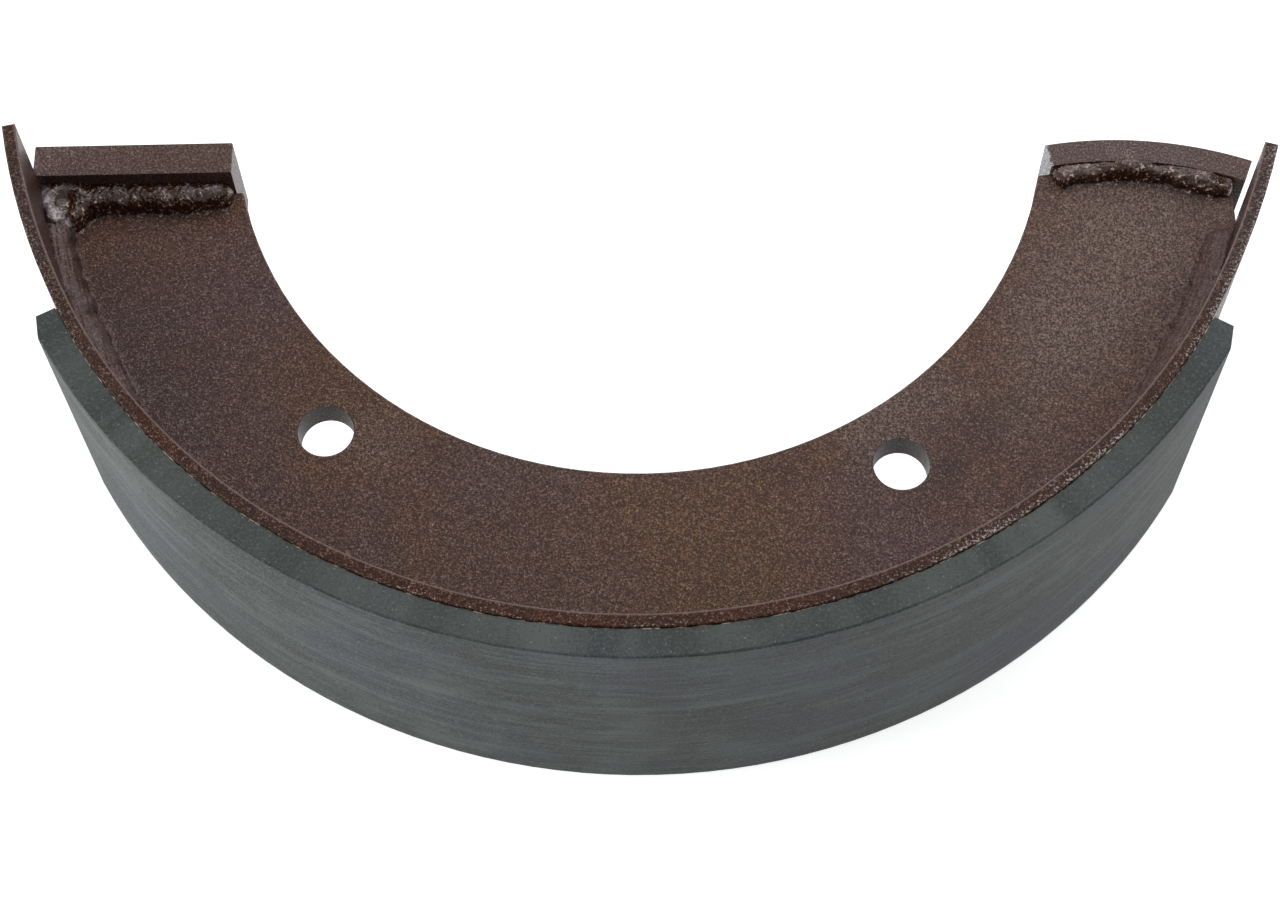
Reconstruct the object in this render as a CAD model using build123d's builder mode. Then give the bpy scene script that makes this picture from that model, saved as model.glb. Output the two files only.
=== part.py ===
from build123d import *
import os
from math import acos, asin, cos, degrees, radians, sin, sqrt

# A welded brake shoe for a drum of about 400 mm. A rolled steel rim carries a
# bonded friction lining outside and one flame-cut web plate inside, which makes
# a T section. The web's two ends bear on the brake through a flat block and a bent
# plate, each fillet-welded to the web above and below.
#
# Millimetres. The origin is on the drum's axis, level with the rim's lower
# edge. +Z is the drum's axis, -Y points to the crown of the shoe, and angles
# run anticlockwise from +X about the drum's axis.

# Lining
lining_outer_radius = 200.8
lining_thickness = 8.4
lining_edge_margin = 0.7
lining_first = 207.3
lining_last = 329.1
lining_bevel_depth = 2.4
lining_bevel_length = 7.0
lining_edge_round = 0.6
bond_gap = 0.4
bond_clearance = 0.08
bond_inset = 0.6

# Rim: a rolled strip, round under the lining, that opens to a larger radius towards each end
rim_thickness = 4.0
rim_width = 100.0
flat_end_radius_gain = 34.0
bent_end_radius_gain = 75.0
flat_end_gap = 0.3
bent_end_tip_drop = 39.9
rim_edge_break = 0.3

# Web: deeper at the crown than at its ends, because its bore sits off centre
web_thickness = 10.0
web_height = 52.0
web_bore_radius = 128.5
web_bore_offset = 3.5
web_tip_setback = 0.8
web_edge_break = 0.4
hole_diameter = 17.0
hole_pitch_radius = 145.5
hole_angles = (228.5, 301.7)

# Flat end block, a length of 35 x 11 bar
flat_block_thickness = 11.0
flat_block_height = 35.0
flat_block_length = 62.0
flat_block_overhang = 1.5
flat_face_offset = 13.5
block_edge_round = 0.6

# Bent end plate, a length of 20 x 8 bar
bent_plate_thickness = 8.0
bent_plate_height = 20.0
bent_plate_bend_radius = 113.0
bent_plate_inset = 41.0
bent_seat_offset = 22.0
bent_plate_first = 68.0
bent_plate_last = 99.1

# Weld beads, as the leg of the fillet at even steps along each seam. The taper gives the
# share of the leg at a few distances from the end.
bead_sink = 3.0
bead_sides = 24
bead_taper = ((0.0, 0.1), (1.5, 0.65), (4.5, 1.0))
flat_block_legs = (5.2, 6.4, 6.9, 6.6, 7.1, 6.8, 7.6, 9.4)
bent_plate_legs = (3.9, 4.5, 4.7, 4.3, 4.7, 4.4, 4.7, 4.4, 3.9)
rim_seam_legs = (6.2, 7.0, 7.4, 6.9, 7.5, 7.0, 7.3, 6.2)
crown_seam_legs = (5.6, 6.8, 7.2, 6.8, 5.6)
corner_lump_overrun = 9.0
bent_seam_margin = 1.0
rim_seam_inset = 3.0
rim_seam_length = 84.0
crown_seam_length = 58.0

# Sizes that follow from those above
lining_inner_radius = lining_outer_radius - lining_thickness
rim_outer_radius = lining_inner_radius - bond_gap
rim_inner_radius = rim_outer_radius - rim_thickness
lining_width = rim_width - 2 * lining_edge_margin
web_top = web_height + web_thickness / 2
web_bottom = web_height - web_thickness / 2
flat_seat_y = -flat_face_offset - flat_block_thickness
flat_outer_x = -rim_inner_radius - flat_block_overhang
bent_centre = (rim_inner_radius - bent_plate_inset, -bent_seat_offset - bent_plate_bend_radius)

os.makedirs("parts", exist_ok=True)


def polar(radius, angle):
    """The point at this radius and angle about the drum's axis."""
    return Vector(radius * cos(radians(angle)), radius * sin(radians(angle)))


# The line where the web meets the rim: round as far as the lining goes, then an arc of larger
# radius on each side. The first tip stops just short of the flat block.
first_centre = polar(-flat_end_radius_gain, lining_first)
first_radius = rim_inner_radius + flat_end_radius_gain
first_tip = 180 - degrees(asin((flat_seat_y - flat_end_gap - first_centre.Y) / first_radius))
last_centre = polar(-bent_end_radius_gain, lining_last)
last_radius = rim_inner_radius + bent_end_radius_gain
last_tip = 360 - degrees(asin((bent_end_tip_drop + last_centre.Y) / last_radius))
rim_line = Wire([
    CenterArc(first_centre, first_radius, first_tip, lining_first - first_tip),
    CenterArc((0, 0), rim_inner_radius, lining_first, lining_last - lining_first),
    CenterArc(last_centre, last_radius, lining_last, last_tip - lining_last),
])
web_tip_x = (rim_line @ 1).X - web_tip_setback

# Rim
with BuildPart() as rim:
    with BuildSketch():
        with BuildLine():
            add(rim_line)
            offset(amount=rim_thickness, side=Side.RIGHT)
        make_face()
    extrude(amount=rim_width)
    chamfer(rim.faces().filter_by(Axis.Z).edges(), rim_edge_break)
rim.part.label = "rim"
export_step(rim.part, "parts/rim.step")

# Film of adhesive in the gap between the rim and the lining
bond_margin = degrees(bond_inset / rim_outer_radius)
bond_first = lining_first + bond_margin
bond_sweep = lining_last - lining_first - 2 * bond_margin
with BuildPart() as bond_layer:
    with BuildSketch(Plane.XY.offset(lining_edge_margin + bond_inset)):
        with BuildLine():
            bond_outer = CenterArc((0, 0), lining_inner_radius - bond_clearance, bond_first, bond_sweep)
            bond_inner = CenterArc((0, 0), rim_outer_radius + bond_clearance, bond_first, bond_sweep)
            Line(bond_outer @ 0, bond_inner @ 0)
            Line(bond_outer @ 1, bond_inner @ 1)
        make_face()
    extrude(amount=lining_width - 2 * bond_inset)
bond_layer.part.label = "bond_layer"
export_step(bond_layer.part, "parts/bond_layer.step")

# Lining: its outer face runs off in a long bevel at each end, so that it does not snatch
bevel_end_radius = lining_outer_radius - lining_bevel_depth
bevel_angle = degrees(lining_bevel_length / lining_outer_radius)
with BuildPart() as lining:
    with BuildSketch(Plane.XY.offset(lining_edge_margin)):
        with BuildLine():
            back = CenterArc((0, 0), lining_inner_radius, lining_first, lining_last - lining_first)
            face = CenterArc((0, 0), lining_outer_radius, lining_first + bevel_angle,
                             lining_last - lining_first - 2 * bevel_angle)
            Polyline(back @ 0, polar(bevel_end_radius, lining_first), face @ 0)
            Polyline(back @ 1, polar(bevel_end_radius, lining_last), face @ 1)
        make_face()
    extrude(amount=lining_width)
    rubbing_face = lining.faces().filter_by(GeomType.CYLINDER).sort_by(SortBy.AREA)[-1]
    fillet(rubbing_face.edges().filter_by(GeomType.CIRCLE), lining_edge_round)
lining.part.label = "lining"
export_step(lining.part, "parts/lining.step")

# The web's footprint: it fills the rim up to the seats of the two end pieces
reach = lining_outer_radius
with BuildSketch() as web_footprint:
    with BuildLine():
        add(rim_line)
        Polyline(rim_line @ 0,
                 rim_line @ 0 - (rim_line % 0) * reach,
                 rim_line @ 1 + (rim_line % 1) * reach,
                 rim_line @ 1)
    make_face()
    with Locations((0, flat_seat_y)):
        Rectangle(reach * 2, reach * 2, align=(Align.MAX, Align.MIN), mode=Mode.SUBTRACT)
    with Locations((web_tip_x, 0)):
        Rectangle(reach, reach, align=(Align.MIN, Align.CENTER), mode=Mode.SUBTRACT)
    with BuildSketch(mode=Mode.SUBTRACT):
        with Locations((0, bent_centre[1] + bent_plate_bend_radius / 2)):
            Rectangle(reach * 2, reach * 2, align=(Align.MIN, Align.MIN))
        with Locations(bent_centre):
            Circle(bent_plate_bend_radius, mode=Mode.SUBTRACT)
    with Locations((0, web_bore_offset)):
        Circle(web_bore_radius, mode=Mode.SUBTRACT)

# Web, with its two holes on one pitch circle
with BuildPart() as web:
    with BuildSketch(Plane.XY.offset(web_bottom)):
        add(web_footprint.sketch)
    extrude(amount=web_thickness)
    bore_edges = web.edges().filter_by(GeomType.CIRCLE).filter_by(
        lambda edge: abs(edge.radius - web_bore_radius) < web_edge_break)
    chamfer(bore_edges, web_edge_break)
    with Locations(*[Plane.XY.offset(web_top).from_local_coords(polar(hole_pitch_radius, angle))
                     for angle in hole_angles]):
        Hole(hole_diameter / 2)
web.part.label = "web"
export_step(web.part, "parts/web.step")

# Flat end block: its near face closes the web, its far face is the abutment
with BuildPart() as flat_block:
    with BuildSketch(Plane.XY.offset(web_height - flat_block_height / 2)):
        with Locations((flat_outer_x, flat_seat_y)):
            Rectangle(flat_block_length, flat_block_thickness, align=Align.MIN)
    extrude(amount=flat_block_height)
    seat_edges = flat_block.faces().sort_by(Axis.Y)[0].edges()
    fillet(flat_block.edges() - seat_edges, block_edge_round)
flat_block.part.label = "flat_end_block"
export_step(flat_block.part, "parts/flat_end_block.step")

# Bent end plate: bent round the web's rounded end, hollow side to the web
with BuildPart() as bent_plate:
    with BuildSketch(Plane.XY.offset(web_height - bent_plate_height / 2)):
        with BuildLine():
            sweep_angle = bent_plate_last - bent_plate_first
            hollow_side = CenterArc(bent_centre, bent_plate_bend_radius, bent_plate_first, sweep_angle)
            round_side = CenterArc(bent_centre, bent_plate_bend_radius + bent_plate_thickness,
                                   bent_plate_first, sweep_angle)
            Line(hollow_side @ 0, round_side @ 0)
            Line(hollow_side @ 1, round_side @ 1)
        make_face()
    extrude(amount=bent_plate_height)
    round_face = bent_plate.faces().filter_by(GeomType.CYLINDER).sort_by(SortBy.AREA)[-1]
    fillet(round_face.edges().filter_by(GeomType.CIRCLE), block_edge_round)
bent_plate.part.label = "bent_end_plate"
export_step(bent_plate.part, "parts/bent_end_plate.step")


def weld_bead(seam, legs, neighbour=None):
    """A fillet bead in the corner between the web's upper face and the wall on the right of a seam.

    A rope of nearly round sections is lofted along the seam, with its centre sunk beyond the
    corner, which leaves the visible face gently crowned. There is one section for each leg, and
    each end runs out in a short taper. What stands on the web's footprint is the bead, so that
    it seats flat on the web and against the wall.
    """
    last = seam.length
    step = (last - 2 * bead_taper[-1][0]) / (len(legs) - 1)
    sections = [(distance, legs[0] * share) for distance, share in bead_taper[:-1]]
    sections += [(bead_taper[-1][0] + index * step, leg) for index, leg in enumerate(legs)]
    sections += [(last - distance, legs[-1] * share) for distance, share in reversed(bead_taper[:-1])]
    with BuildPart() as bead:
        for distance, leg in sections:
            along = seam % (distance / last)
            outward = along.cross(Vector(0, 0, 1))
            with BuildSketch(Plane(seam @ (distance / last), x_dir=outward, z_dir=along)):
                with Locations((bead_sink, bead_sink)):
                    RegularPolygon(sqrt((leg + bead_sink) ** 2 + bead_sink ** 2), bead_sides)
        loft(ruled=True)
        with BuildSketch(Plane.XY.offset(web_top), mode=Mode.PRIVATE) as ground:
            add(web_footprint.sketch)
        extrude(ground.sketch, amount=max(legs) + 2 * bead_sink, mode=Mode.INTERSECT)
        if neighbour:
            add(neighbour, mode=Mode.SUBTRACT)
    return bead.part


def export_bead_pair(upper, name):
    """Write a bead above the web and its twin below."""
    lower = upper.mirror(Plane.XY.offset(web_height))
    for bead, side in ((upper, "upper"), (lower, "lower")):
        bead.label = f"{name}_{side}"
        export_step(bead, f"parts/{name}_{side}.step")


lift = Vector(0, 0, web_top)

# Seam of the flat block, run outwards so that it ends in a lump in the corner of the rim
flat_seam = Line(Vector(flat_outer_x + flat_block_length, flat_seat_y) + lift,
                 Vector((rim_line @ 0).X - corner_lump_overrun, flat_seat_y) + lift)
flat_bead = weld_bead(flat_seam, flat_block_legs)
export_bead_pair(flat_bead, "flat_block_weld")

# Seam of the bent plate, on its hollow side, as far as the tip of the web
bent_seam_first = degrees(acos((web_tip_x - bent_seam_margin - bent_centre[0]) / bent_plate_bend_radius))
bent_seam = CenterArc(Vector(*bent_centre) + lift, bent_plate_bend_radius, bent_seam_first,
                      bent_plate_last - bent_seam_first)
export_bead_pair(weld_bead(bent_seam, bent_plate_legs), "bent_plate_weld")

# Seams of the rim: one from each end of the web, and one at the crown
rim_length = rim_line.length
raised_rim_line = rim_line.moved(Location(lift))
rim_seams = {
    "flat_end_rim_weld": (rim_seam_inset, rim_seam_length, rim_seam_legs),
    "crown_rim_weld": ((rim_length - crown_seam_length) / 2, crown_seam_length, crown_seam_legs),
    "bent_end_rim_weld": (rim_length - rim_seam_inset - rim_seam_length, rim_seam_length, rim_seam_legs),
}
for name, (start, run, legs) in rim_seams.items():
    seam = raised_rim_line.trim(start / rim_length, (start + run) / rim_length)
    export_bead_pair(weld_bead(seam, legs, flat_bead), name)
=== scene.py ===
import math
import bmesh
import bpy
import numpy as np
from mathutils import Matrix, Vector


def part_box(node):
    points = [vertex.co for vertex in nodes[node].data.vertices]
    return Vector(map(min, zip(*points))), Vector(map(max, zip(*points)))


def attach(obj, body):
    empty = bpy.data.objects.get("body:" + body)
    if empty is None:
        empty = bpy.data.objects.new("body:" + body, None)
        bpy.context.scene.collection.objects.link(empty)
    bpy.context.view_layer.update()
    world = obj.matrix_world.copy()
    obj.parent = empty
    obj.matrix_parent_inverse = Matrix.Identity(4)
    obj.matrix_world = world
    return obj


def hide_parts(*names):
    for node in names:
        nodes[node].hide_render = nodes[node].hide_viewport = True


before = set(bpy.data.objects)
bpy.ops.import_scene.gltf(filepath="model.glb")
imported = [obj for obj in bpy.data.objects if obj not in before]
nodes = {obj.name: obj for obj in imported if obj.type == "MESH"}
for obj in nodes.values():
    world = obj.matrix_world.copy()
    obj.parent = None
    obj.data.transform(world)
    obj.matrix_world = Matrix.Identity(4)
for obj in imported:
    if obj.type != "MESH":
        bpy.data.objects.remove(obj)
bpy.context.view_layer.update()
mm = 0.001

# sizes read back from the frame, in mm
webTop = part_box("web")[1][2] / mm
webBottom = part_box("web")[0][2] / mm
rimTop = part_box("rim")[1][2] / mm
rimInnerRadius = -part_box("web")[0][1] / mm
rimOuterRadius = -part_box("rim")[0][1] / mm
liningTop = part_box("lining")[1][2] / mm
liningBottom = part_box("lining")[0][2] / mm
liningRadius = -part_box("lining")[0][1] / mm
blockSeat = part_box("flat_end_block")[0][1] / mm
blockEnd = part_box("flat_end_block")[1][0] / mm
print("frame loaded, web top at", round(webTop, 2), "mm and rim top at", round(rimTop, 2), "mm")


def linearColour(hexText):
    # sRGB hex to the linear values that Blender works in
    parts = [int(hexText[i:i + 2], 16) / 255 for i in (1, 3, 5)]
    return tuple(p / 12.92 if p <= 0.04045 else ((p + 0.055) / 1.055) ** 2.4 for p in parts) + (1.0,)


def addNode(tree, kind, settings=None, links=None, out=0):
    # settings go to the socket of that name or number, or else to the node itself; links join a
    # source to a socket; what comes back is the output of that name or number
    made = tree.nodes.new(kind)
    for key, value in (settings or {}).items():
        if isinstance(key, int) or key in made.inputs:
            made.inputs[key].default_value = value
        else:
            setattr(made, key, value)
    for key, source in (links or {}).items():
        tree.links.new(source, made.inputs[key])
    return made.outputs[out] if made.outputs else None


def newMaterial(name):
    made = bpy.data.materials.new(name)
    made.use_nodes = True
    made.node_tree.nodes.clear()
    return made, made.node_tree


# the rim's inner wall is round in the middle and opens to a larger radius at each end, and the bent
# plate is round about a centre of its own; lengths are in mm
arcs = {
    "roundDegrees": (207.3, 329.1),
    "radiusGains": (34.0, 75.0),
    "plateRadius": 113.0,
    "plateCentre": (rimInnerRadius - 41.0, -135.0),
    "plateEndDegrees": 99.1,
    "holeDegrees": (228.5, 301.7),
    "holePitchRadius": 145.5,
    "holeRadius": 8.5,
}

# primer: red-oxide primer sprayed over shot-blasted plate
primer = {
    "hollowTone": "#29150d",
    "redTone": "#68412e",
    "violetTone": "#634b48",
    "dustTone": "#775c42",
    "speckTone": "#b5a698",
    "grainMm": 0.66,         # the blasted plate's pebble, which the paint levels only in part
    "fineMm": 0.38,          # dry spray; a real one is finer, and this is as coarse as it needs to show
    "speckMm": 1.9,
    "speckSize": (0.15, 0.06),    # from a cell's point, in cells: a speck's edge, and where it is full
    "speckPick": (0.50, 0.85, 0.8),
    "grainDepthMm": 0.30,
    "hollowShare": 0.03,     # how much of the paint's own tone is left in the hollows
    "cloudMm": 60.0,
    "roughness": 0.34,
    "specular": 0.2,
    "paintedGlint": 0.45,
}
rimPrimer = dict(primer, redTone="#502610", violetTone="#4c2e22", dustTone="#573820", hollowTone="#1f0d06",
                 specular=0.13)
barPrimer = dict(primer, grainDepthMm=0.2, hollowTone="#33201b", redTone="#60443d", violetTone="#66524f")
seamPrimer = dict(primer, paintedGlint=0.2, grainDepthMm=0.10, hollowTone="#3c2822", redTone="#5d453f",
                  violetTone="#604e4a", roughness=0.30)
# the same paint over the two heavy welds, darker, amber and glossier
beadPrimer = dict(primer, hollowTone="#160702", redTone="#4a230e", violetTone="#452618", dustTone="#5e3a1c",
                  speckTone="#d0c2b8", roughness=0.18, grainMm=1.7, fineMm=0.7, grainDepthMm=0.20,
                  hollowShare=0.30, specular=0.34, paintedGlint=0.85)

# Patches on the paint: a tone, and its places as x, y, radius, strength and width of the soft edge.
# Lengths are in mm, and a strength is a share of the tone.
orangeDirt = ("#6f4c2e", ((10, -158, 75, 0.65, 75), (-60, -148, 30, 0.3, 30), (-150, -45, 14, 0.3, 14)))
tanDust = ("#857063", ((-80, -113, 17, 0.5, 17), (70, -106, 24, 0.55, 20), (92, -98, 16, 0.35, 14),
                       (150, -50, 46, 0.75, 46), (128, -84, 34, 0.65, 34), (112, -108, 16, 0.3, 16)))
violetBloom = ("#5d454b", ((66, -150, 34, 0.45, 34), (-130, -60, 40, 0.35, 40), (170, -70, 20, 0.3, 20)))
oilStains = ("#24120c", ((100, -114, 11, 0.4, 8), (109, -106, 11, 0.3, 8), (92, -124, 8, 0.55, 7),
                         (86, -131, 10, 0.4, 9), (-168, -62, 40, 0.30, 40), (-140, -92, 40, 0.25, 40),
                         (40, -122, 14, 0.3, 9), (171, -27, 13, 0.3, 10)))
bareScuffs = ("#a08f86", ((153.5, -20.2, 3.6, 0.45, 3.6), (149.0, -18.5, 3.0, 0.3, 3.0)))
# painted reflection: near-white patches on the end face of the bent plate, standing in for the bright floor
# that the face reflects
paintedEndReflection = ("#f2f2f8", ((127.0, -23.5, 3.4, 0.9, 1.2), (126.3, -19.5, 3.4, 0.9, 1.2),
                             (125.7, -16.0, 3.4, 0.9, 1.2)))
holeShade = ("#120e0b", tuple((arcs["holePitchRadius"] * math.cos(math.radians(a)),
                               arcs["holePitchRadius"] * math.sin(math.radians(a)),
                               arcs["holeRadius"] + 0.2, 0.92, 0.15) for a in arcs["holeDegrees"]))
# paler, greyer violet over both ends of the rim
rimEndsPaler = ("#5a4a45", ((190, -60, 70, 0.8, 60), (-192, -60, 60, 0.6, 50)))
# painted shade: a dark strip along the toe of the rim seam at the flat block's end, on the slope turned away
# from the light
paintedToeShade = ("#22130d", ((-177, -42, 3.6, 0.75, 2.8), (-175, -50, 3.6, 0.75, 2.8),
                       (-173, -58, 3.6, 0.75, 2.8), (-170, -68, 3.6, 0.75, 2.8)))
# painted highlight: a pale strip along the same seam, nearer the rim, on the side that faces the light
paintedSeamHighlight = ("#8f7c7a", ((-182, -41, 3.0, 0.5, 3.0), (-180, -50, 3.0, 0.5, 3.0),
                         (-177, -60, 3.0, 0.5, 3.0)))
# painted highlights: pale violet patches on the raised ring round the crater of the flat block's weld and
# along its top, standing in for the light they catch
paintedBlockWeldHighlight = ("#c4b6c0", ((-187.0, -26.5, 3.4, 0.75, 3.0), (-186.0, -31.0, 3.8, 0.9, 3.2),
                          (-182.8, -35.2, 3.4, 0.9, 2.8), (-178.8, -38.0, 2.6, 0.8, 2.4),
                          (-178.5, -25.0, 2.4, 0.6, 2.4), (-133.5, -27.0, 2.6, 0.5, 2.6),
                          (-141.0, -27.2, 2.4, 0.4, 2.4), (-150.0, -27.2, 2.4, 0.3, 2.4),
                          (-131.0, -31.5, 1.6, 0.5, 1.6)))
# painted highlights: pale patches along the top of the bent plate's weld, standing in for the light it
# catches
paintedPlateWeldHighlight = ("#8d7668", ((135.0, -24.6, 3.8, 0.75, 3.4), (141.0, -24.2, 3.8, 0.7, 3.4),
                        (154.0, -23.0, 3.6, 0.5, 3.4), (161.0, -24.6, 3.4, 0.45, 3.4),
                        (169.0, -27.0, 3.4, 0.45, 3.4), (177.0, -29.5, 3.2, 0.6, 3.0)))
# painted shade: dark amber in the crater of the flat block's weld and in a pit of the bent plate's weld,
# standing in for the shade and warm bounced light in these hollows
paintedHollowShade = ("#3e1c06", ((-175.5, -31.0, 4.6, 0.9, 3.4), (-170.5, -31.0, 4.4, 0.7, 3.6),
                        (181.5, -31.2, 3.4, 0.7, 3.4)))


def patchMask(tree, place, spots):
    # the sum over the spots of strength times a smooth fall from 1 inside the soft edge to 0 outside
    total = None
    for x, y, radius, strength, edge in spots:
        away = addNode(tree, "ShaderNodeVectorMath",
                       {"operation": "MULTIPLY_ADD", 1: (1, 1, 0), 2: (-x * mm, -y * mm, 0)}, {0: place})
        away = addNode(tree, "ShaderNodeVectorMath", {"operation": "LENGTH"}, {0: away}, "Value")
        fall = addNode(tree, "ShaderNodeMapRange",
                       {"interpolation_type": "SMOOTHSTEP", "From Min": radius * mm,
                        "From Max": (radius - edge) * mm, "To Max": strength}, {"Value": away})
        if total is None:
            total = fall
        else:
            total = addNode(tree, "ShaderNodeMath", {"operation": "ADD"}, {0: total, 1: fall})
    return total


def tinted(tree, colour, tone, mask):
    # the colour, taken towards a tone as far as the mask says
    return addNode(tree, "ShaderNodeMix", {"data_type": "RGBA", 7: linearColour(tone)},
                   {"Factor": mask, 6: colour}, 2)


def specked(tree, place, colour, look):
    # pale specks: a soft disc at the point of a cell, in only those cells whose own random value is high
    cells = tree.nodes.new("ShaderNodeTexVoronoi")
    cells.inputs["Scale"].default_value = 1 / (look["speckMm"] * mm)
    tree.links.new(place, cells.inputs["Vector"])
    edge, middle = look["speckSize"]
    disc = addNode(tree, "ShaderNodeMapRange", {"From Min": edge, "From Max": middle},
                   {"Value": cells.outputs["Distance"]})
    first, full, strength = look["speckPick"]
    picked = addNode(tree, "ShaderNodeMapRange", {"From Min": first, "From Max": full, "To Max": strength},
                     {"Value": cells.outputs["Color"]})
    mask = addNode(tree, "ShaderNodeMath", {"operation": "MULTIPLY"}, {0: disc, 1: picked})
    return tinted(tree, colour, look["speckTone"], mask)


def rimRadius(tree, place):
    # distance from the centre of the arc that holds at the place's angle, less that arc's extra radius
    split = tree.nodes.new("ShaderNodeSeparateXYZ")
    tree.links.new(place, split.inputs[0])
    flat = addNode(tree, "ShaderNodeVectorMath", {"operation": "MULTIPLY", 1: (1, 1, 0)}, {0: place})
    away = addNode(tree, "ShaderNodeMath", {"operation": "MULTIPLY", 1: -1.0}, {0: split.outputs["Y"]})
    turn = addNode(tree, "ShaderNodeMath", {"operation": "ARCTAN2"}, {0: split.outputs["X"], 1: away})
    radius = addNode(tree, "ShaderNodeVectorMath", {"operation": "LENGTH"}, {0: flat}, "Value")
    sides = ("LESS_THAN", "GREATER_THAN")
    for degrees, gain, passed in zip(arcs["roundDegrees"], arcs["radiusGains"], sides):
        join = math.radians(degrees)
        centre = (gain * mm * math.cos(join), gain * mm * math.sin(join), 0)
        arm = addNode(tree, "ShaderNodeVectorMath", {"operation": "ADD", 1: centre}, {0: flat})
        arm = addNode(tree, "ShaderNodeVectorMath", {"operation": "LENGTH"}, {0: arm}, "Value")
        arm = addNode(tree, "ShaderNodeMath", {"operation": "SUBTRACT", 1: gain * mm}, {0: arm})
        beyond = addNode(tree, "ShaderNodeMath", {"operation": passed, 1: join - math.radians(270)},
                         {0: turn})
        radius = addNode(tree, "ShaderNodeMix", {"data_type": "FLOAT"},
                         {"Factor": beyond, 2: radius, 3: arm})
    return radius, turn, split.outputs["Z"]


rimWearAndHighlight = {
    "edgeHighlightTone": "#97807c",
    "edgeHighlightMm": (0.75, 0.25),       # from the inner edge: where the painted highlight starts and is full
    "edgeHighlightStrength": 0.55,
    "bareTone": "#a89f99",
    "chipsPerMetre": 1250.0,
    "chipEdgeMm": 2.4,            # the chips grow rare over this much, from the outer edge inwards
    "rubsPerMetre": 28.0,
    "rubShare": 0.07,
    "topMm": (0.35, 0.05),        # below the rim's top: where the wear starts and is full
}


def addRimWearAndHighlight(tree, place, colour):
    # the top of the rim: a painted highlight in a pale line along the inner edge, and the paint chipped to
    # bare metal grains along the outer edge, most of all towards the bent plate's end
    radius, turn, level = rimRadius(tree, place)
    low, high = rimWearAndHighlight["topMm"]
    top = addNode(tree, "ShaderNodeMapRange",
                  {"From Min": (rimTop - low) * mm, "From Max": (rimTop - high) * mm}, {"Value": level})
    # painted highlight: a pale line along the inner edge of the rim's top, standing in for the light that the
    # edge catches
    start, full = rimWearAndHighlight["edgeHighlightMm"]
    inner = addNode(tree, "ShaderNodeMapRange",
                    {"From Min": (rimInnerRadius + start) * mm, "From Max": (rimInnerRadius + full) * mm,
                     "To Max": rimWearAndHighlight["edgeHighlightStrength"]}, {"Value": radius})
    mask = addNode(tree, "ShaderNodeMath", {"operation": "MULTIPLY"}, {0: inner, 1: top})
    colour = tinted(tree, colour, rimWearAndHighlight["edgeHighlightTone"], mask)
    # a grain is bare where its noise passes a level, and these three raise or lower the noise
    outer = addNode(tree, "ShaderNodeMapRange",
                    {"From Min": (rimOuterRadius - rimWearAndHighlight["chipEdgeMm"]) * mm,
                     "From Max": rimOuterRadius * mm, "To Min": -0.14, "To Max": 0.02}, {"Value": radius})
    right = addNode(tree, "ShaderNodeMapRange",
                    {"From Min": 0.05, "From Max": 0.45, "To Min": -0.05, "To Max": 0.07}, {"Value": turn})
    rubs = addNode(tree, "ShaderNodeTexNoise", {"Scale": rimWearAndHighlight["rubsPerMetre"], "Detail": 2.0},
                   {"Vector": place})
    rubs = addNode(tree, "ShaderNodeMapRange",
                   {"From Min": 0.35, "From Max": 0.65, "To Min": -rimWearAndHighlight["rubShare"],
                    "To Max": rimWearAndHighlight["rubShare"]}, {"Value": rubs})
    chips = addNode(tree, "ShaderNodeTexNoise", {"Scale": rimWearAndHighlight["chipsPerMetre"], "Detail": 2.0,
                                                 "Roughness": 0.6}, {"Vector": place})
    for more in (outer, right, rubs):
        chips = addNode(tree, "ShaderNodeMath", {"operation": "ADD"}, {0: chips, 1: more})
    bare = addNode(tree, "ShaderNodeMapRange", {"From Min": 0.56, "From Max": 0.64}, {"Value": chips})
    mask = addNode(tree, "ShaderNodeMath", {"operation": "MULTIPLY"}, {0: bare, 1: top})
    return tinted(tree, colour, rimWearAndHighlight["bareTone"], mask)


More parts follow.
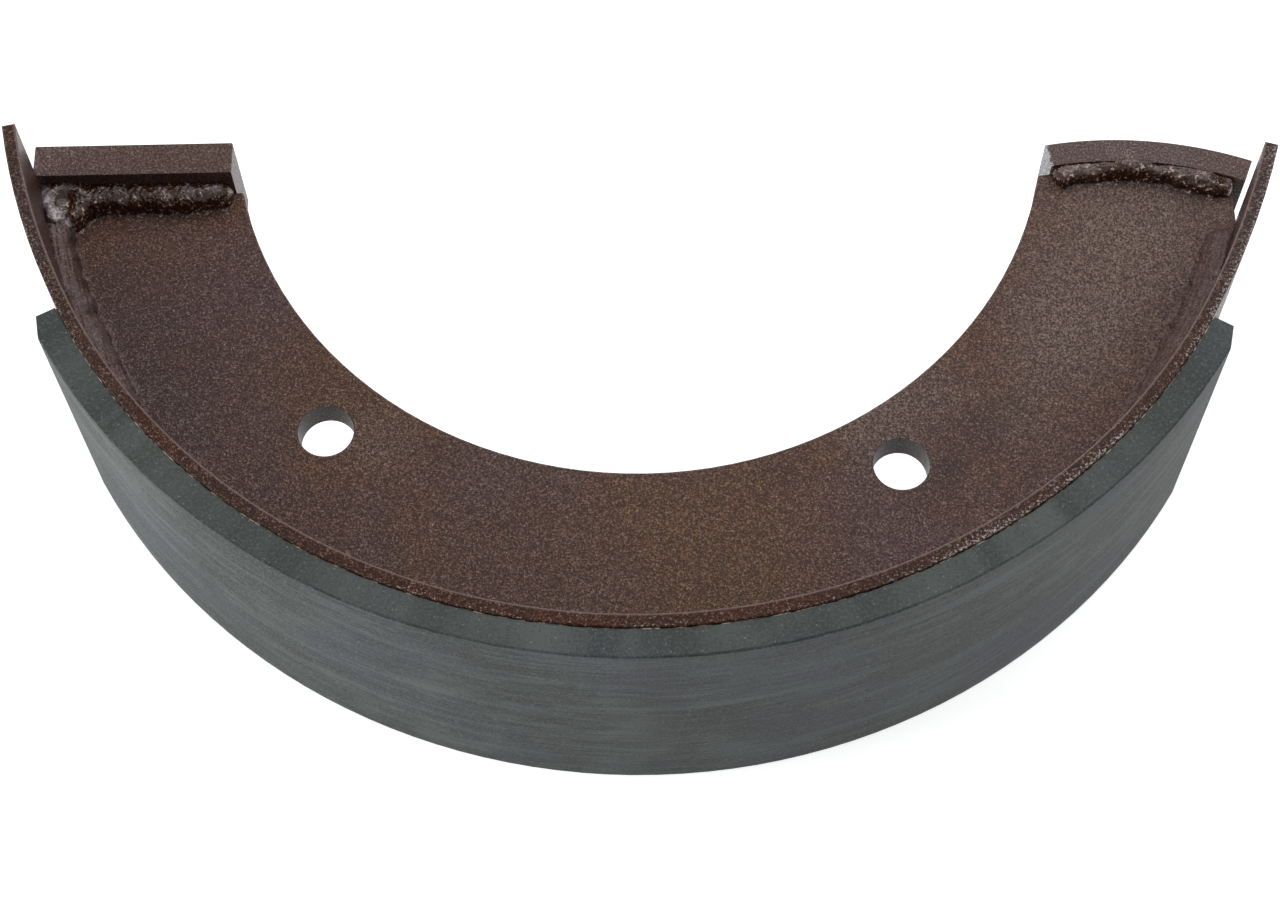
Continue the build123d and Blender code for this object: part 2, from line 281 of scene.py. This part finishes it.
def primerMaterial(name, look=primer, patches=(), wornAndHighlit=False):
    # satin dark red paint: the pebbled plate breaks the light's violet reflection into fine speckle, with
    # painted glints of pale colour on the highest grains, and brown dust lies on it in soft clouds
    made, tree = newMaterial(name)
    place = addNode(tree, "ShaderNodeTexCoord", out="Object")
    grain = addNode(tree, "ShaderNodeTexNoise", {"Scale": 1 / (look["grainMm"] * mm), "Detail": 2.0,
                                                 "Roughness": 0.6}, {"Vector": place})
    fine = addNode(tree, "ShaderNodeTexNoise", {"Scale": 1 / (look["fineMm"] * mm), "Detail": 1.0},
                   {"Vector": place})
    cloud = addNode(tree, "ShaderNodeTexNoise", {"Scale": 1 / (look["cloudMm"] * mm), "Detail": 5.0},
                    {"Vector": place})
    height = addNode(tree, "ShaderNodeMath", {"operation": "MULTIPLY_ADD", 1: 0.6}, {0: fine, 2: grain})
    high = addNode(tree, "ShaderNodeMapRange", {"From Min": 0.69, "From Max": 0.92,
                                                "To Min": look["hollowShare"]}, {"Value": height})
    violet = addNode(tree, "ShaderNodeMapRange", {"From Min": 0.60, "From Max": 0.40}, {"Value": cloud})
    colour = addNode(tree, "ShaderNodeMix", {"data_type": "RGBA", 6: linearColour(look["redTone"]),
                                             7: linearColour(look["violetTone"])}, {"Factor": violet}, 2)
    mask = addNode(tree, "ShaderNodeMapRange", {"From Min": 0.50, "From Max": 0.75, "To Max": 0.45},
                   {"Value": cloud})
    colour = tinted(tree, colour, look["dustTone"], mask)
    for tone, spots in patches:
        colour = tinted(tree, colour, tone, patchMask(tree, place, spots))
    # paint and dust are thin on the low places between the pebbles
    colour = addNode(tree, "ShaderNodeMix", {"data_type": "RGBA", 6: linearColour(look["hollowTone"])},
                     {"Factor": high, 7: colour}, 2)
    # painted highlight: the highest grains are taken towards the pale speck tone, as glints
    paintedGlint = addNode(tree, "ShaderNodeMapRange", {"From Min": 0.91, "From Max": 1.04, "To Max": look["paintedGlint"]},
                    {"Value": height})
    colour = tinted(tree, colour, look["speckTone"], paintedGlint)
    colour = specked(tree, place, colour, look)
    if wornAndHighlit:
        colour = addRimWearAndHighlight(tree, place, colour)
    bump = addNode(tree, "ShaderNodeBump", {"Distance": look["grainDepthMm"] * mm}, {"Height": height})
    gloss = addNode(tree, "ShaderNodeMapRange",
                    {"From Min": 0.35, "From Max": 0.7, "To Min": look["roughness"] + 0.06,
                     "To Max": look["roughness"] - 0.08}, {"Value": fine})
    shader = addNode(tree, "ShaderNodeBsdfPrincipled", {"IOR": 1.5, "Specular IOR Level": look["specular"]},
                     {"Base Color": colour, "Normal": bump, "Roughness": gloss})
    addNode(tree, "ShaderNodeOutputMaterial", links={"Surface": shader})
    return made


# lining: moulded friction compound, ground to size
friction = {
    "bodyTone": "#2b2f2e",
    "greenTone": "#333a33",
    "blueTone": "#3e4049",
    "speckTone": "#8d938c",
    "paleTone": "#666b6a",
    "pitTone": "#171918",
    "flatSideShadeTone": "#2c332e",
    "flatSideShadeStrength": 0.42,
    "speckMm": 1.15,
    "speckSize": (0.24, 0.10),
    "speckPick": (0.55, 0.9, 0.85),
    "cloudsPerMetre": 34.0,
    "tintsPerMetre": 15.0,
    "streakMm": (24.0, 0.9),
    "bandMm": (70.0, 7.0),
    "gritMm": 0.8,
    "roughness": 0.66,
}


def liningMaterial(name):
    # a matt mixture of resin, fibre and metal chips: pale specks cut through by the grinding, and
    # streaks and bands round the circumference where the wheel has run
    made, tree = newMaterial(name)
    place = addNode(tree, "ShaderNodeTexCoord", out="Object")
    split = tree.nodes.new("ShaderNodeSeparateXYZ")
    tree.links.new(place, split.inputs[0])
    away = addNode(tree, "ShaderNodeMath", {"operation": "MULTIPLY", 1: -1.0}, {0: split.outputs["Y"]})
    turn = addNode(tree, "ShaderNodeMath", {"operation": "ARCTAN2"}, {0: split.outputs["X"], 1: away})
    run = []
    for alongMm, acrossMm in (friction["streakMm"], friction["bandMm"]):
        # position unrolled: length round the circumference and height, each in grains of the pattern
        length = addNode(tree, "ShaderNodeMath", {"operation": "MULTIPLY", 1: liningRadius / alongMm},
                         {0: turn})
        level = addNode(tree, "ShaderNodeMath", {"operation": "MULTIPLY", 1: 1 / (acrossMm * mm)},
                        {0: split.outputs["Z"]})
        unrolled = addNode(tree, "ShaderNodeCombineXYZ", links={"X": length, "Z": level})
        run.append(addNode(tree, "ShaderNodeTexNoise", {"Scale": 1.0, "Detail": 4.0, "Roughness": 0.62},
                           {"Vector": unrolled}))
    streak, band = run
    cloud = addNode(tree, "ShaderNodeTexNoise", {"Scale": friction["cloudsPerMetre"], "Detail": 6.0,
                                                 "Roughness": 0.6}, {"Vector": place})
    tint = addNode(tree, "ShaderNodeTexNoise",
                   {"noise_dimensions": "4D", "W": 3.0, "Scale": friction["tintsPerMetre"], "Detail": 3.0},
                   {"Vector": place})
    grit = addNode(tree, "ShaderNodeTexNoise", {"Scale": 1 / (friction["gritMm"] * mm), "Detail": 3.0},
                   {"Vector": place})
    mask = addNode(tree, "ShaderNodeMapRange", {"From Min": 0.38, "From Max": 0.62}, {"Value": cloud})
    colour = addNode(tree, "ShaderNodeMix", {"data_type": "RGBA", 6: linearColour(friction["bodyTone"]),
                                             7: linearColour(friction["greenTone"])}, {"Factor": mask}, 2)
    # each layer: the pattern, where it starts, where it is full, how strong it is, and its tone
    for pattern, start, full, strength, tone in (
            (tint, 0.48, 0.60, 0.80, friction["blueTone"]), (cloud, 0.52, 0.68, 0.45, friction["paleTone"]),
            (band, 0.50, 0.68, 0.75, friction["paleTone"]),
            (band, 0.46, 0.30, 0.40, friction["pitTone"]), (streak, 0.52, 0.68, 0.75, friction["paleTone"]),
            (streak, 0.46, 0.32, 0.75, friction["pitTone"]), (grit, 0.50, 0.66, 0.60, friction["paleTone"]),
            (grit, 0.44, 0.30, 0.55, friction["pitTone"])):
        mask = addNode(tree, "ShaderNodeMapRange",
                       {"From Min": start, "From Max": full, "To Max": strength}, {"Value": pattern})
        colour = tinted(tree, colour, tone, mask)
    # painted shade and colour: the flat top and bottom are taken darker, which evens out the top against the
    # overhead lamp, and greener, with the wheel's bands fainter
    for start, full in ((liningTop - 0.5, liningTop - 0.1), (liningBottom + 0.5, liningBottom + 0.1)):
        mask = addNode(tree, "ShaderNodeMapRange",
                       {"From Min": start * mm, "From Max": full * mm, "To Max": friction["flatSideShadeStrength"]},
                       {"Value": split.outputs["Z"]})
        colour = tinted(tree, colour, friction["flatSideShadeTone"], mask)
    colour = specked(tree, place, colour, friction)
    height = addNode(tree, "ShaderNodeMath", {"operation": "MULTIPLY_ADD", 1: 1.2}, {0: streak, 2: grit})
    bump = addNode(tree, "ShaderNodeBump", {"Distance": 0.10 * mm}, {"Height": height})
    shader = addNode(tree, "ShaderNodeBsdfPrincipled", {"Roughness": friction["roughness"], "IOR": 1.5,
                                                        "Specular IOR Level": 0.34},
                     {"Base Color": colour, "Normal": bump})
    addNode(tree, "ShaderNodeOutputMaterial", links={"Surface": shader})
    return made


adhesive = {"darkFilmTone": "#2b231d", "tanTone": "#b3a18a", "patchesPerMetre": 420.0, "roughness": 0.4}


def adhesiveMaterial(name):
    # cured phenolic film: tan in dashes and dark between them, after a noise
    made, tree = newMaterial(name)
    place = addNode(tree, "ShaderNodeTexCoord", out="Object")
    patch = addNode(tree, "ShaderNodeTexNoise", {"Scale": adhesive["patchesPerMetre"], "Detail": 3.0},
                    {"Vector": place})
    mask = addNode(tree, "ShaderNodeMapRange", {"From Min": 0.50, "From Max": 0.62}, {"Value": patch})
    colour = addNode(tree, "ShaderNodeMix", {"data_type": "RGBA", 6: linearColour(adhesive["darkFilmTone"]),
                                             7: linearColour(adhesive["tanTone"])}, {"Factor": mask}, 2)
    shader = addNode(tree, "ShaderNodeBsdfPrincipled", {"Roughness": adhesive["roughness"]},
                     {"Base Color": colour})
    addNode(tree, "ShaderNodeOutputMaterial", links={"Surface": shader})
    return made


def dress(nodeNames, material):
    for nodeName in nodeNames:
        for slot in nodes[nodeName].material_slots:
            slot.material = material


dress(["rim"], primerMaterial("primedRim", rimPrimer, (rimEndsPaler,), wornAndHighlit=True))
dress(["flat_end_block", "bent_end_plate"],
      primerMaterial("primedBar", barPrimer, (bareScuffs, paintedEndReflection)))
dress(["web"],
      primerMaterial("primedPlate", primer, (orangeDirt, tanDust, violetBloom, oilStains, holeShade)))
dress(["lining"], liningMaterial("frictionLining"))
filmPaint = adhesiveMaterial("curedAdhesive")
heavyPaint = primerMaterial("primedHeavyBead", beadPrimer, (paintedBlockWeldHighlight, paintedPlateWeldHighlight, paintedHollowShade))
seamPaint = primerMaterial("primedSeam", seamPrimer, (paintedToeShade, paintedSeamHighlight))
print("materials made")


# weld beads: hand-laid fillets with ripples, lumps and a ragged toe
def alongRim(run):
    # run is the distance from the crown: the angle grows by run over radius, about the drum's axis in
    # the middle and about a centre further back past each end of the round stretch
    crown = math.radians(270)
    angle, radius = crown + run / rimInnerRadius, np.full_like(run, rimInnerRadius)
    centre = np.zeros(run.shape + (2,))
    for join, gain, sign in zip(np.radians(arcs["roundDegrees"]), arcs["radiusGains"], (-1, 1)):
        joinRun = rimInnerRadius * (join - crown)
        past = (run - joinRun) * sign > 0
        angle = np.where(past, join + (run - joinRun) / (rimInnerRadius + gain), angle)
        radius = np.where(past, rimInnerRadius + gain, radius)
        centre = np.where(past[..., None], -gain * np.array([math.cos(join), math.sin(join)]), centre)
    out = np.stack([np.cos(angle), np.sin(angle)], -1)
    return centre + radius[..., None] * out, -out


def alongBlock(run):
    # a straight line on the block's near face: run is the distance from the block's inner end
    point = np.stack([blockEnd - run, np.full_like(run, blockSeat)], -1)
    return point, np.broadcast_to((0.0, -1.0), point.shape)


def alongPlate(run):
    # the plate's hollow side: run is the distance from its inner end, clockwise
    angle = math.radians(arcs["plateEndDegrees"]) - run / arcs["plateRadius"]
    out = np.stack([np.cos(angle), np.sin(angle)], -1)
    return np.array(arcs["plateCentre"]) + arcs["plateRadius"] * out, -out


# Runs in mm along each line; heights are the legs on the wall and reaches those on the web, evenly
# spaced along the run. A spot is a raised or sunk place: run, distance from the wall, radius, height.
# A crescent is a raised rim round a crater, highest away from the block's inner end: run, distance from
# the wall, rim radius, width, height, depth.
beads = {
    "flat_block_weld": {
        "line": alongBlock, "run": (0.6, 62.0), "seed": 11, "endRound": 2.0, "fullness": 3.4,
        "heights": (6.0, 7.2, 7.2, 7.0, 7.1, 7.0, 7.2, 7.3, 7.6, 7.6, 7.0),
        "reaches": (5.0, 6.2, 7.4, 7.4, 7.1, 7.1, 7.1, 8.0, 13.2, 14.4, 9.0),
        "ripplePitch": 2.6, "rippleDepth": 0.06, "lumpDepth": 0.07, "pebble": (0.06, 0.05), "lipMm": 0.9,
        "strandDepth": 0.03, "toeWander": 0.22,
        "spots": ((2.6, 1.6, 1.4, 0.5), (36.0, 3.0, 3.0, -0.2), (44.5, 6.0, 3.0, 0.4)),
        "crescents": ((51.5, 6.6, 6.4, 2.6, 1.7, 1.0),),
    },
    "bent_plate_weld": {
        "line": alongPlate, "run": (0.6, 58.6), "seed": 23, "endRound": 1.6, "fullness": 2.6,
        "heights": (4.3, 4.7, 4.8, 5.0, 5.6, 5.5, 4.9, 4.8, 5.0, 4.9, 4.4),
        "reaches": (5.6, 5.2, 5.0, 4.6, 4.3, 4.3, 4.6, 5.2, 5.8, 6.0, 5.4),
        "ripplePitch": 2.2, "rippleDepth": 0.06, "lumpDepth": 0.07, "pebble": (0.035, 0.03), "lipMm": 0.9,
        "strandDepth": 0.03, "toeWander": 0.2,
        "spots": ((3.2, 4.6, 1.5, 0.8), (24.0, 0.8, 2.6, 0.8), (28.5, 0.6, 2.2, 0.7),
                  (20.0, 0.5, 1.2, -0.6), (33.0, 0.9, 1.3, -0.5), (46.5, 3.4, 2.6, 0.5),
                  (54.0, 1.8, 1.5, -1.4), (50.5, 0.8, 1.3, 0.7)),
        "crescents": (),
    },
    "flat_end_rim_weld": {
        "line": alongRim, "run": (-264.5, -184.0), "seed": 37, "endRound": 4.0, "fullness": 2.6,
        "heights": (5.6, 6.2, 6.6, 6.4, 6.6, 6.8, 6.4, 6.0, 5.0),
        "reaches": (7.4, 7.2, 7.0, 7.0, 7.1, 7.6, 7.0, 6.4, 5.4),
        "ripplePitch": 3.0, "rippleDepth": 0.02, "lumpDepth": 0.04, "pebble": (0.012, 0.008), "lipMm": 1.3,
        "strandDepth": 0.07, "toeWander": 0.26,
        "spots": ((-214.0, 3.0, 5.0, 0.5), (-205.0, 4.0, 3.0, 0.3), (-240.0, 5.0, 3.0, -0.3)),
        "crescents": (),
    },
    "bent_end_rim_weld": {
        "line": alongRim, "run": (168.0, 250.5), "seed": 41, "endRound": 6.0, "fullness": 1.8,
        "heights": (4.6, 5.2, 5.4, 5.4, 5.6, 5.4, 5.4, 5.0, 4.4),
        "reaches": (6.2, 7.4, 8.2, 8.6, 8.6, 8.5, 8.4, 8.2, 7.0),
        "ripplePitch": 3.4, "rippleDepth": 0.02, "lumpDepth": 0.04, "pebble": (0.012, 0.008), "lipMm": 1.3,
        "strandDepth": 0.09, "toeWander": 0.28,
        "spots": ((214.0, 4.0, 5.0, -0.3), (230.0, 5.0, 4.0, -0.2), (196.0, 3.0, 5.0, 0.3)),
        "crescents": (),
    },
    "crown_rim_weld": {
        "line": alongRim, "run": (-29.0, 29.0), "seed": 53, "endRound": 4.0, "fullness": 2.2,
        "heights": (5.4, 6.2, 6.0, 6.4, 5.4),
        "reaches": (6.4, 7.0, 7.4, 6.8, 6.2),
        "ripplePitch": 3.0, "rippleDepth": 0.05, "lumpDepth": 0.05, "pebble": (0.02, 0.015), "lipMm": 1.1,
        "strandDepth": 0.06, "toeWander": 0.15,
        "spots": (), "crescents": (),
    },
}
heavyBeads = ("flat_block_weld", "bent_plate_weld")
beadMesh = {
    "upper": (0.22, 44),          # step along the run in mm, and points round the face
    "lower": (0.5, 24),
    "lip": 6,
    "lipHeight": 0.16,
    "hiddenMm": 0.4,
    "grooveMm": 0.4,
    "grooveDepth": 0.35,
    "wanderMm": (5.0, 1.6),
    "lumpMm": 7.0,
    "pebbleMm": (1.9, 0.9),
    "strandMm": 1.9,
    "strandStretch": 7,           # how many times longer than wide the strands are
}


def waves(rng, run, over, sizeMm, count=22):
    # smooth noise of about unit spread: a sum of sine waves of random direction, length and phase;
    # a run divided by a number gives noise drawn out along the seam
    turn, phase = rng.uniform(0, 2 * np.pi, (2, count))
    length = sizeMm * rng.uniform(0.7, 1.9, count)
    where = run[..., None] * np.cos(turn) + over[..., None] * np.sin(turn)
    return np.sin(2 * np.pi * where / length + phase).sum(-1) * math.sqrt(2 / count)


def evenValue(values, share):
    # the value at a share of the way along an evenly spaced list, eased between its entries
    place = share * (len(values) - 1)
    left = np.minimum(place.astype(int), len(values) - 2)
    eased = (1 - np.cos(np.pi * (place - left))) / 2
    values = np.array(values)
    return values[left] * (1 - eased) + values[left + 1] * eased


def beadPoints(look, rng, upper, stepMm, around):
    # Across the seam the face is a superellipse between the leg on the wall and the leg on the web,
    # and round its end it shrinks as a quarter circle. Ripples, lumps and spots push it out along a
    # line that turns from upright at the wall to level at the toe, where a thin ragged lip runs out.
    first, last = look["run"]
    run, turn = np.meshgrid(np.linspace(first, last, int((last - first) / stepMm)),
                            np.linspace(0, np.pi / 2, around), indexing="ij")
    share = (run - first) / (last - first)
    nearEnd = np.clip(np.minimum(run - first, last - run) / look["endRound"], 0, 1)
    rounding = np.sqrt(1 - (1 - nearEnd) ** 2)
    still = 0 * run
    slow, quick = beadMesh["wanderMm"]
    wander = waves(rng, run, still, slow) + 0.5 * waves(rng, run, still, quick)
    reach = evenValue(look["reaches"], share) + look["toeWander"] * wander
    height = evenValue(look["heights"], share) + 0.15 * waves(rng, run, still, slow)
    reach, height = reach * rounding, height * rounding
    bend = 2 / look["fullness"]
    fromWall, fromWeb = reach * np.sin(turn) ** bend, height * np.cos(turn) ** bend
    stepWeb = np.diff(fromWeb, axis=1, prepend=fromWeb[:, :1])
    over = np.hypot(np.diff(fromWall, axis=1, prepend=0), stepWeb).cumsum(1)
    crest = np.sin(2 * turn)
    ripple = (run + 1.1 * crest + 0.7 * waves(rng, run, over, 9.0)) / look["ripplePitch"]
    push = look["rippleDepth"] * (np.abs(np.sin(np.pi * ripple)) - 0.6) * (0.4 + 0.6 * crest)
    push = push + look["lumpDepth"] * waves(rng, run, over, beadMesh["lumpMm"])
    for depth, sizeMm in zip(look["pebble"], beadMesh["pebbleMm"]):
        push = push + depth * waves(rng, run, over, sizeMm)
    strands = waves(rng, run / beadMesh["strandStretch"], over, beadMesh["strandMm"])
    push = push + look["strandDepth"] * strands
    for spotRun, spotAway, radius, depth in look["spots"] if upper else ():
        push = push + depth * np.exp(-((run - spotRun) ** 2 + (fromWall - spotAway) ** 2) / radius ** 2)
    for tipRun, tipAway, radius, width, raised, sunk in look["crescents"] if upper else ():
        away = np.hypot(run - tipRun, fromWall - tipAway)
        side = 0.55 + 0.45 * (run - tipRun) / (away + 0.5)
        push = push + raised * side * np.exp(-((away - radius) / width) ** 2)
        push = push - sunk * np.exp(-(away / radius * 1.35) ** 2)
    push = push * rounding
    groove = beadMesh["grooveDepth"] * np.exp(-(fromWall / beadMesh["grooveMm"]) ** 2) * rounding
    fromWall = np.maximum(fromWall + push * np.sin(turn), 0)
    fromWeb = np.maximum(fromWeb + push * np.cos(turn) - groove, 0)
    # the lip falls from its height at the toe to nothing, as a quarter of a cosine
    out = np.linspace(0, 1, beadMesh["lip"])[None, 1:]
    lipHeight = beadMesh["lipHeight"] * np.cos(out * np.pi / 2) * rounding[:, :1]
    lipHeight = lipHeight * (1 + 0.6 * waves(rng, run[:, :1] + 0 * out, 2 * out + 0 * run[:, :1], 1.1))
    lipReach = look["lipMm"] * rounding[:, :1] * (1 + 0.5 * waves(rng, run[:, :1], still[:, :1], 1.7))
    lipWall = fromWall[:, -1:] + out * lipReach
    fromWeb = np.maximum(fromWeb, beadMesh["lipHeight"] * rounding * (turn > np.pi / 4))
    # the loop closes under the web's face and inside the wall
    low = np.full_like(run[:, :1], -beadMesh["hiddenMm"])
    fromWall = np.hstack([fromWall, lipWall, lipWall[:, -1:], low, low])
    fromWeb = np.hstack([fromWeb, np.maximum(lipHeight, -0.1), low, low, fromWeb[:, :1]])
    return run[:, :1] + 0 * fromWall, fromWall, fromWeb


def loopMesh(name, spots, paint):
    # a closed tube from a grid of points: rows run along the piece and columns round its section
    rows, columns = spots.shape[:2]
    grid = np.arange(rows * columns).reshape(rows, columns)
    after = np.roll(grid, -1, axis=1)
    quads = np.stack([grid[:-1], after[:-1], after[1:], grid[1:]], -1).reshape(-1, 4)
    mesh = bpy.data.meshes.new(name)
    mesh.from_pydata(spots.reshape(-1, 3) * mm, [], quads.tolist() + [grid[0].tolist(), grid[-1].tolist()])
    shape = bmesh.new()
    shape.from_mesh(mesh)
    bmesh.ops.remove_doubles(shape, verts=shape.verts, dist=0.01 * mm)
    bmesh.ops.recalc_face_normals(shape, faces=shape.faces)
    shape.to_mesh(mesh)
    shape.free()
    mesh.shade_smooth()
    mesh.materials.append(paint)
    piece = bpy.data.objects.new(name, mesh)
    bpy.context.scene.collection.objects.link(piece)
    return piece


def makeBead(name, look, upper, paint):
    rng = np.random.default_rng(look["seed"] + (0 if upper else 100))
    stepMm, around = beadMesh["upper" if upper else "lower"]
    run, fromWall, fromWeb = beadPoints(look, rng, upper, stepMm, around)
    point, inward = look["line"](run)
    level = webTop + fromWeb if upper else webBottom - fromWeb
    grid = np.concatenate([point + inward * fromWall[..., None], level[..., None]], -1)
    return loopMesh(name, grid, paint)


for seam, look in beads.items():
    paint = heavyPaint if seam in heavyBeads else seamPaint
    for side in ("upper", "lower"):
        bead = makeBead(f"laid_{seam}_{side}", look, side == "upper", paint)
        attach(bead, "root")
        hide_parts(f"{seam}_{side}")
print("weld beads laid")

# bond layer: the adhesive film, with the ragged line of it that was squeezed out at both edges
film = {"gapMm": 0.4, "insetDegrees": 0.18, "squeezeMm": 0.66, "crownMm": 0.12, "stepMm": 0.35, "seed": 71}


def filmPoints():
    # a band on the rim; its upper and lower edges bulge as half ellipses across the gap, and stand out
    # by a share of the squeezed height that wanders along the run between none and all
    rng = np.random.default_rng(film["seed"])
    first, last = np.radians(arcs["roundDegrees"]) + math.radians(film["insetDegrees"]) * np.array([1, -1])
    angle = np.linspace(first, last, int(rimOuterRadius * (last - first) / film["stepMm"]))[:, None]
    along = angle * rimOuterRadius
    across = np.linspace(0, np.pi, 7)[None, :]
    sides = []
    for edge, sign in ((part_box("bond_layer")[1][2] / mm, 1), (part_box("bond_layer")[0][2] / mm, -1)):
        wander = waves(rng, along, 0 * along, 9.0) + 0.7 * waves(rng, along, 0 * along, 2.2)
        squeezed = film["squeezeMm"] * np.clip(0.72 + 0.32 * wander, 0, 1)
        radius = rimOuterRadius + film["gapMm"] * (0.5 - 0.5 * sign * np.cos(across)) + 0 * angle
        sides.append((radius, edge + sign * (squeezed + film["crownMm"] * (np.sin(across) - 1))))
    radius, level = np.hstack([sides[0][0], sides[1][0]]), np.hstack([sides[0][1], sides[1][1]])
    return np.stack([radius * np.cos(angle), radius * np.sin(angle), level], -1)


squeezed = loopMesh("squeezed_bond_film", filmPoints(), filmPaint)
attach(squeezed, "root")
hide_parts("bond_layer")
print("bond film laid")


# stage: pale floor that shows white and keeps the shadow
def seenRays(tree):
    # 1 for a ray from the camera, or one that gloss or glass sends on, and 0 for the rest
    rays = tree.nodes.new("ShaderNodeLightPath").outputs
    seen = addNode(tree, "ShaderNodeMath", {"operation": "MAXIMUM"},
                   {0: rays["Is Camera Ray"], 1: rays["Is Glossy Ray"]})
    return addNode(tree, "ShaderNodeMath", {"operation": "MAXIMUM"},
                   {0: seen, 1: rays["Is Transmission Ray"]})


floorMesh = bpy.data.meshes.new("floor")
floorReach = 6.0
corners = [(x * floorReach, y * floorReach, 0) for x, y in ((-1, -1), (1, -1), (1, 1), (-1, 1))]
floorMesh.from_pydata(corners, [], [(0, 1, 2, 3)])
floor = bpy.data.objects.new("floor", floorMesh)
bpy.context.scene.collection.objects.link(floor)
floorLook, tree = newMaterial("paleFloor")
matt = addNode(tree, "ShaderNodeBsdfDiffuse", {"Color": linearColour("#e8e8e8")})
glow = addNode(tree, "ShaderNodeEmission", {"Strength": 0.76})
raised = addNode(tree, "ShaderNodeAddShader", links={0: matt, 1: glow})
mixed = addNode(tree, "ShaderNodeMixShader", links={"Fac": seenRays(tree), 1: matt, 2: raised})
addNode(tree, "ShaderNodeOutputMaterial", links={"Surface": mixed})
floorMesh.materials.append(floorLook)

world = bpy.data.worlds.new("room")
bpy.context.scene.world = world
world.use_nodes = True
tree = world.node_tree
tree.nodes.clear()
dim = addNode(tree, "ShaderNodeBackground", {"Color": (0.93, 0.96, 1.0, 1), "Strength": 0.30})
white = addNode(tree, "ShaderNodeBackground", {"Color": (1, 1, 1, 1), "Strength": 1.0})
mixed = addNode(tree, "ShaderNodeMixShader", links={"Fac": seenRays(tree), 1: dim, 2: white})
addNode(tree, "ShaderNodeOutputWorld", links={"Surface": mixed})


def turned(side, up, back, place):
    # the matrix of an object at a place, whose X, Y and Z axes point along side, up and back
    return Matrix([[side[i], up[i], back[i], place[i]] for i in range(3)] + [[0, 0, 0, 1]])


def softbox(name, place, aim, size, watts):
    lamp = bpy.data.lights.new(name, "AREA")
    lamp.shape = "RECTANGLE"
    lamp.size, lamp.size_y = size
    lamp.energy = watts
    made = bpy.data.objects.new(name, lamp)
    back = np.array(place, float) - np.array(aim, float)
    back /= np.linalg.norm(back)
    side = np.cross((0, 1, 0), back)
    side /= np.linalg.norm(side)
    up = np.cross(back, side)
    made.matrix_world = turned(side, up, back, place)
    bpy.context.scene.collection.objects.link(made)


softbox("overhead", (0.35, 0.65, 1.25), (0.03, -0.1, 0.05), (1.7, 1.3), 16)
softbox("lowLeft", (-1.3, -0.38, 0.28), (-0.15, -0.12, 0.04), (0.8, 0.4), 12.0)
print("stage and lights made")

# camera: its place in metres, its lens in mm and its angles in degrees
view = {"place": (0.0, -0.4618, 0.7673), "lens": 73.93, "pitch": 64.132, "roll": -1.373, "yaw": -0.283}
pitch, roll, yaw = (math.radians(view[k]) for k in ("pitch", "roll", "yaw"))
forward = np.array([math.sin(yaw) * math.cos(pitch), math.cos(yaw) * math.cos(pitch), -math.sin(pitch)])
levelRight = np.array([math.cos(yaw), -math.sin(yaw), 0.0])
levelUp = np.cross(levelRight, forward)
right = math.cos(roll) * levelRight + math.sin(roll) * levelUp
up = -math.sin(roll) * levelRight + math.cos(roll) * levelUp
camera = bpy.data.objects.new("camera", bpy.data.cameras.new("camera"))
camera.data.lens = view["lens"]
camera.data.sensor_width = 36.0
camera.matrix_world = turned(right, up, -forward, view["place"])
bpy.context.scene.collection.objects.link(camera)
bpy.context.scene.camera = camera
bpy.context.scene.view_settings.view_transform = "Standard"
